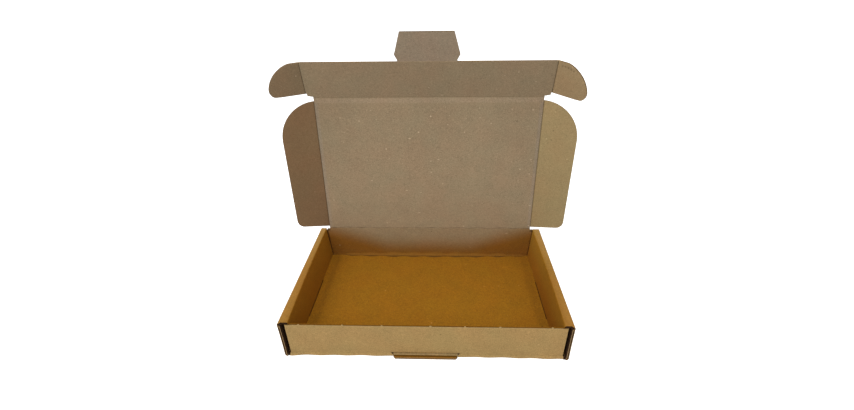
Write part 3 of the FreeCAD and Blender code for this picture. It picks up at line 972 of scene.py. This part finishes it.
def make_front():
    """The front wall with the slot above its lip, its bends and its corner flaps."""
    sheets = Sheets()
    for side in (-1, 1):
        wall_and_flap(sheets, side, FRONT_PLY, FRONT_FACE, -1, FRONT_CORNER_FLAP, slot_side, "left_wall")
        front_bend(sheets, side)

    def middle(z, x):
        return np.array([x, FRONT_FACE, z]), np.array([x, FRONT_FACE + BOARD, z])

    rows = lengths(LOCK_SLOT_TOP, LOW_WALL_TOP, WALL_STEP)
    cols = lengths(-LOCK_SLOT_HIGH, LOCK_SLOT_HIGH, COLUMN_STEP)
    sheets.board(middle, rows, cols, "outside", "left_wall", flute_rows(LOCK_SLOT_TOP, LOW_WALL_TOP))
    return place_piece(sheets, "tray_front", "tray")


def make_back():
    """The back wall up to the lid's crease, its bend and its corner flaps."""
    sheets = Sheets()
    for side in (-1, 1):
        wall_and_flap(sheets, side, BACK_PLY, HALF_LENGTH, 1, BACK_CORNER_FLAP, lambda z: 0.0, "back")
    back_bend(sheets)
    top = LID_AT[2] - CREASE_HALF

    def strip(z, x):
        return np.array([x, HALF_LENGTH, z]), np.array([x, HALF_LENGTH - BOARD, z])

    rows, cols = lengths(LOW_WALL_TOP, top, STRIP_STEP), lengths(-SIDE_AXIS, SIDE_AXIS, COLUMN_STEP)
    sheets.board(strip, rows, cols, "outside", "back", flute_rows(LOW_WALL_TOP, top))
    # The shoulders beside the lid's crease are darkened with painted shade.
    for side in (-1, 1):
        rows, cols = lengths(LOW_WALL_TOP, SHOULDER_TOP, STRIP_STEP), (side * SIDE_AXIS, side * SHOULDER_END)
        sheets.board(strip, rows, cols, "outside", "back", flute_rows(LOW_WALL_TOP, SHOULDER_TOP),
                     shade=lambda z, x: SHOULDER_SHADE)
    return place_piece(sheets, "tray_back", "tray")


def make_tufts():
    """Torn paper nicks on the front wall's top edge."""
    draw = random.Random(SEED)
    work = bmesh.new()
    for x in TUFT_PLACES:
        made = bmesh.ops.create_icosphere(work, subdivisions=3, radius=1.0)["verts"]
        width = TUFT_WIDTH * draw.uniform(0.42, 0.62)
        for vertex in made:
            rough = 1 + draw.uniform(-0.12, 0.12)
            place = (
                x + vertex.co.x * width * rough,
                FRONT_FACE + TUFT_INSET + vertex.co.y * TUFT_DEPTH * rough,
                LOW_WALL_TOP + vertex.co.z * TUFT_HEIGHT * rough,
            )
            vertex.co = Vector(place) * MM
    mesh = bpy.data.meshes.new("front_wall_tufts")
    work.to_mesh(mesh)
    work.free()
    mesh.materials.append(MATERIALS["outside_edge"])
    piece = bpy.data.objects.new("front_wall_tufts", mesh)
    bpy.context.scene.collection.objects.link(piece)
    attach(piece, "tray")
    return piece


# Hinged panels

def outline(node, origin, across, up):
    """A panel's outline on its inner face, as pairs of (u, v) points, read from the frame."""
    inward = np.cross(across, up)
    mesh = frame["nodes"][node].data
    points = np.array([v.co for v in mesh.vertices], float) / MM - origin
    u, v, depth = points @ across, points @ up, points @ inward
    on_face = np.abs(depth - BOARD / 2) < 0.01
    ends = [edge.vertices for edge in mesh.edges]
    return [((u[a], v[a]), (u[b], v[b])) for a, b in ends if on_face[a] and on_face[b]]


def span(pairs, v):
    """The lowest and highest u of an outline at one v."""
    found = []
    for (u0, v0), (u1, v1) in pairs:
        if min(v0, v1) <= v <= max(v0, v1):
            share = 0.5 if v0 == v1 else (v - v0) / (v1 - v0)
            found += [u0, u1] if v0 == v1 else [u0 + (u1 - u0) * share]
    return min(found), max(found)


def panel(sheets, origin, across, up, v0, v1, reach, inner, columns=LID_COLUMNS):
    """A flat panel between v0 and v1. reach(v) gives its lowest and highest u."""
    inward = np.cross(across, up)

    def surface(v, t):
        low, high = reach(v)
        point = origin + across * (low + (high - low) * t) + up * v
        return point - inward * BOARD / 2, point + inward * BOARD / 2

    rows, cols = close_rows(v0, v1), np.linspace(0, 1, columns + 1)
    sheets.board(surface, rows, cols, "outside", inner, flute_rows(v0, v1))


def crease(name, origin, along, away, toward, start, end, fold, tones, wander=0.0, close=5.0,
           crease_shading=0.4, deep=CREASE_DEPTH, wavy=0.0):
    """The pressed board at a crease, bent at the rest angle between its two bodies.
    away leads from the crease into the first body, along runs the crease, fold is the angle at rest."""
    across = -away
    inward = np.cross(along, across) * toward
    sheets = Sheets()
    rows = lengths(start, end, close)
    cols = np.linspace(-CREASE_HALF, CREASE_HALF, CREASE_STEPS + 1)

    def turned(d, h):
        t = (d + CREASE_HALF) / (2 * CREASE_HALF)
        angle = fold * t * t * (3 - 2 * t)
        c, s = math.cos(angle), math.sin(angle)
        return across * (d * c - h * s) + inward * (d * s + h * c)

    low, high, painted_shades = [], [], []
    for place in rows:
        shift = wander * wave(place)
        groove = [deep * math.exp(-((d - shift) / CREASE_WIDTH) ** 2) for d in cols]
        fade = [1 - (d / CREASE_HALF) ** 4 for d in cols]
        base = origin + along * place
        low.append([base + turned(d, OUTER_PRESS * f - BOARD / 2) for d, f in zip(cols, fade)])
        high.append([base + turned(d, BOARD / 2 - g * f) for d, g, f in zip(cols, groove, fade)])
        # Painted shade along the crease, or painted light where its strength is below 0; wavy makes it vary
        # along the crease.
        depth = crease_shading * (1 - wavy + wavy * low_wave(place * 1.6 + 4.0))
        painted_shades.append([depth * f * math.exp(-((d - shift) / CREASE_SHADE_WIDTH) ** 2) for d, f in zip(cols, fade)])
    half = len(cols) // 2
    low, high, painted_shades = np.array(low), np.array(high), np.array(painted_shades)
    sheets.slab(low[:, :half + 1], high[:, :half + 1], "outside", tones[0], "edge", painted_shades[:, :half + 1])
    sheets.slab(low[:, half:], high[:, half:], "outside", tones[1], "edge", painted_shades[:, half:])
    piece = sheets.made(name)
    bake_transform(piece)
    return piece


def make_lid():
    """The lid's main panel and its crease to the back wall."""
    sheets = Sheets()
    flap_low, flap_high = span_ends("lid_right_flap")
    raw = SIDE_AXIS - EDGE_INSET
    for v0, v1, half in (
        (CREASE_HALF, flap_low, raw),
        (flap_low, flap_high, SIDE_AXIS - CREASE_HALF),
        (flap_high, LID_LENGTH - CREASE_HALF, raw),
    ):
        panel(sheets, LID_AT, ACROSS, LID_UP, v0, v1, lambda v, h=half: (-h, h), "lid")
    place_piece(sheets, "lid_board", "lid", "lid_panel")
    lean = math.acos(float(LID_UP @ WALL_UP))
    crease("lid_crease", LID_AT, ACROSS, -WALL_UP, 1, -SIDE_AXIS, SIDE_AXIS, -lean,
           ("back", "lid"), WAVE_HEIGHT, close=2.0, crease_shading=0.34, deep=0.3, wavy=0.8)


def side_frame(side, fold_joint, up):
    """The in-plane direction of a side flap or ear, pointing along +u, and its axis point."""
    fold = rest_fold(fold_joint)
    inward = np.cross(ACROSS, up)
    outward = ACROSS * side * math.cos(fold) + inward * math.sin(fold)
    return joint_place(fold_joint), outward * side, fold


def span_ends(node):
    """The lowest and highest v of a side flap on its inner face."""
    side = 1 if "right" in node else -1
    joint = "right_flap_fold" if side > 0 else "left_flap_fold"
    origin, across, fold = side_frame(side, joint, LID_UP)
    pairs = outline(node, origin, across, LID_UP)
    heights = [v for pair in pairs for _, v in pair]
    return min(heights), max(heights)


def make_side_panel(side, node, name, body, joint, up, tone, parent_tone, crease_name):
    """A side flap or an ear, with its crease."""
    origin, across, fold = side_frame(side, joint, up)
    pairs = outline(node, origin, across, up)
    heights = [v for pair in pairs for _, v in pair]
    v0, v1 = min(heights), max(heights)
    tiny = 1e-3

    def reach(v):
        low, high = span(pairs, min(max(v, v0 + tiny), v1 - tiny))
        if side > 0:
            return min(CREASE_HALF, high - tiny), high
        return low, max(-CREASE_HALF, low + tiny)

    sheets = Sheets()
    panel(sheets, origin, across, up, v0, v1, reach, tone, FLAP_COLUMNS)
    place_piece(sheets, name, body, node)
    crease(crease_name, origin, up, -ACROSS * side, -side, v0, v1, fold, (parent_tone, tone))


def make_front_flap():
    """The front flap, whose middle rises to the locking tab's crease."""
    pairs = outline("front_flap", FRONT_AT, ACROSS, FLAP_UP)
    top = max(v for pair in pairs for _, v in pair)
    tab_pairs = outline("lock_tab", TAB_AT, ACROSS, FLAP_UP)
    tab_top = max(v for pair in tab_pairs for _, v in pair)
    root = max(abs(u) for pair in tab_pairs for u, v in pair if v < CREASE_HALF)
    edge = EAR_AXIS - CREASE_HALF

    def half(v):
        return min(edge, span(pairs, max(v, CREASE_HALF))[1])

    sheets = Sheets()
    for side in (-1, 1):
        panel(sheets, FRONT_AT, ACROSS, FLAP_UP, CREASE_HALF, top,
              lambda v, s=side: tuple(sorted((s * root, s * half(min(v, top - 0.01))))), "front")
    panel(sheets, FRONT_AT, ACROSS, FLAP_UP, CREASE_HALF, TAB_CREASE - CREASE_HALF,
          lambda v: (-root, root), "front")
    place_piece(sheets, "front_flap_board", "front_flap", "front_flap")
    fold = rest_fold("front_flap_fold")
    crease("front_flap_crease", FRONT_AT, ACROSS, -LID_UP, 1, -SIDE_AXIS, SIDE_AXIS,
           fold, ("lid", "front"), 0.12, crease_shading=0.06, deep=0.12)
    sheets = Sheets()
    panel(sheets, TAB_AT, ACROSS, FLAP_UP, CREASE_HALF, tab_top,
          lambda v: span(tab_pairs, min(v, tab_top - 1e-3)), "tab", TAB_COLUMNS)
    place_piece(sheets, "lock_tab_board", "lock_tab", "lock_tab")
    # The lock tab's crease gets a painted highlight instead of shade, where the bent board catches the light.
    crease("lock_tab_crease", TAB_AT, ACROSS, -FLAP_UP, 1, -root, root, 0.0,
           ("front", "tab"), 0.1, crease_shading=-0.16, deep=0.12)


def make_object():
    make_base()
    make_side(-1, "tray_left_side", "left_wall")
    make_side(1, "tray_right_side", "right_wall")
    make_front()
    make_back()
    make_tufts()
    make_lid()
    make_front_flap()
    for side, hand in ((-1, "left"), (1, "right")):
        make_side_panel(side, "lid_%s_flap" % hand, "%s_flap_board" % hand, "%s_flap" % hand,
                        "%s_flap_fold" % hand, LID_UP, "%s_flap" % hand, "lid", "%s_flap_crease" % hand)
        make_side_panel(side, "%s_ear" % hand, "%s_ear_board" % hand, "%s_ear" % hand,
                        "%s_ear_fold" % hand, FLAP_UP, "%s_ear" % hand, "front", "%s_ear_crease" % hand)


# Stage, light and camera

def make_stage():
    """A plain white floor, which the camera sees as white apart from the object's soft shadow."""
    bpy.ops.mesh.primitive_plane_add(size=60.0, location=(0, 0, -0.0003))
    floor = bpy.context.object
    floor.name = "stage_floor"
    n = Nodes("stage_white")
    path = n.add("ShaderNodeLightPath")
    seen = n.plus(path.outputs["Is Camera Ray"], path.outputs["Is Glossy Ray"], clamp=True)
    seen = n.plus(seen, path.outputs["Is Transmission Ray"], clamp=True)
    plain = n.add("ShaderNodeBsdfDiffuse", Color=(0.9, 0.9, 0.9, 1))
    glow = n.add("ShaderNodeEmission", Color=(1, 1, 1, 1), Strength=0.75)
    both = n.add("ShaderNodeAddShader")
    n.link(plain.outputs[0], both.inputs[0])
    n.link(glow.outputs[0], both.inputs[1])
    choose = n.add("ShaderNodeMixShader")
    n.link(seen, choose.inputs[0])
    n.link(plain.outputs[0], choose.inputs[1])
    n.link(both.outputs[0], choose.inputs[2])
    output = n.add("ShaderNodeOutputMaterial")
    n.link(choose.outputs[0], output.inputs["Surface"])
    floor.data.materials.append(n.material)


def make_world():
    world = bpy.data.worlds.new("studio")
    bpy.context.scene.world = world
    world.use_nodes = True
    tree = world.node_tree
    tree.nodes.clear()
    path = tree.nodes.new("ShaderNodeLightPath")
    soft = tree.nodes.new("ShaderNodeBackground")
    soft.inputs["Strength"].default_value = 0.72
    white = tree.nodes.new("ShaderNodeBackground")
    choose = tree.nodes.new("ShaderNodeMixShader")
    output = tree.nodes.new("ShaderNodeOutputWorld")
    for background in (soft, white):
        background.inputs["Color"].default_value = (1, 1, 1, 1)
    tree.links.new(path.outputs["Is Camera Ray"], choose.inputs[0])
    tree.links.new(soft.outputs[0], choose.inputs[1])
    tree.links.new(white.outputs[0], choose.inputs[2])
    tree.links.new(choose.outputs[0], output.inputs["Surface"])


def lamp(name, place, aim, size, power):
    """A soft square lamp. Place and aim are in metres."""
    data = bpy.data.lights.new(name, "AREA")
    data.size = size
    data.energy = power
    thing = bpy.data.objects.new(name, data)
    thing.location = place
    thing.rotation_euler = (Vector(aim) - Vector(place)).to_track_quat("-Z", "Y").to_euler()
    bpy.context.scene.collection.objects.link(thing)


def make_camera():
    """The camera that the photograph's corners give."""
    data = bpy.data.cameras.new("camera")
    data.sensor_width = SENSOR_WIDTH
    data.sensor_fit = "HORIZONTAL"
    data.lens = CAMERA_LENS
    data.clip_start = 0.01
    data.clip_end = 100.0
    camera = bpy.data.objects.new("camera", data)
    turn = (Matrix.Rotation(math.radians(CAMERA_YAW), 3, "Z")
            @ Matrix.Rotation(math.radians(-CAMERA_PITCH), 3, "X")
            @ Matrix.Rotation(math.radians(CAMERA_ROLL), 3, "Y"))
    right, forward, up = turn.col[0], turn.col[1], turn.col[2]
    axes = Matrix((right, up, -forward)).transposed()
    camera.matrix_world = Matrix.Translation(Vector(CAMERA_AT) * MM) @ axes.to_4x4()
    bpy.context.scene.collection.objects.link(camera)
    bpy.context.scene.camera = camera


make_object()
make_stage()
make_world()
lamp("key", (-0.5, -1.0, 1.7), (0, 0, 0.12), 1.8, 22.0)
make_camera()
bpy.context.scene.view_settings.view_transform = "Standard"
